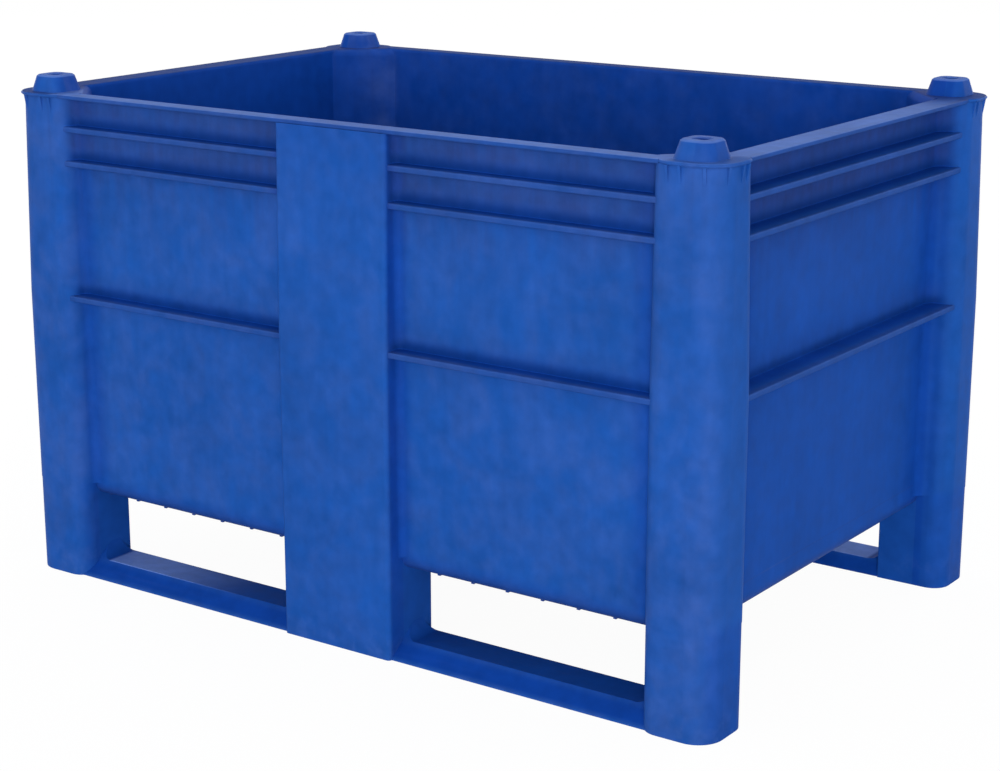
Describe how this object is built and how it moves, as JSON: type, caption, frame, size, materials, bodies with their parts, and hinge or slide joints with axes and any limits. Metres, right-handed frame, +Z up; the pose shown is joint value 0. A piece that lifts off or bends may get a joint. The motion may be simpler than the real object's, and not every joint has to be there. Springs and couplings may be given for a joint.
{
  "type": "pallet box",
  "caption": "Open-topped moulded pallet box with ribbed solid walls, hollow corner posts, stacking pegs, and low runners between its feet that leave fork entry on every side.",
  "frame": {"origin": "on the floor under the middle of the box", "axes": "+X along the long sides, +Y across the box towards its rear long side, +Z up"},
  "size_m": [1.202, 0.802, 0.76],
  "materials": {
    "moulded_plastic": "satin"
  },
  "bodies": {
    "root": {"floor_deck": "moulded_plastic", "front_wall": "moulded_plastic", "rear_wall": "moulded_plastic", "left_end_wall": "moulded_plastic", "right_end_wall": "moulded_plastic", "front_centre_post": "moulded_plastic", "rear_centre_post": "moulded_plastic", "front_left_corner_post": "moulded_plastic", "front_right_corner_post": "moulded_plastic", "rear_left_corner_post": "moulded_plastic", "rear_right_corner_post": "moulded_plastic", "front_left_stacking_peg": "moulded_plastic", "front_right_stacking_peg": "moulded_plastic", "rear_left_stacking_peg": "moulded_plastic", "rear_right_stacking_peg": "moulded_plastic", "front_left_runner": "moulded_plastic", "front_right_runner": "moulded_plastic", "rear_left_runner": "moulded_plastic", "rear_right_runner": "moulded_plastic"}
  },
  "joints": []
}
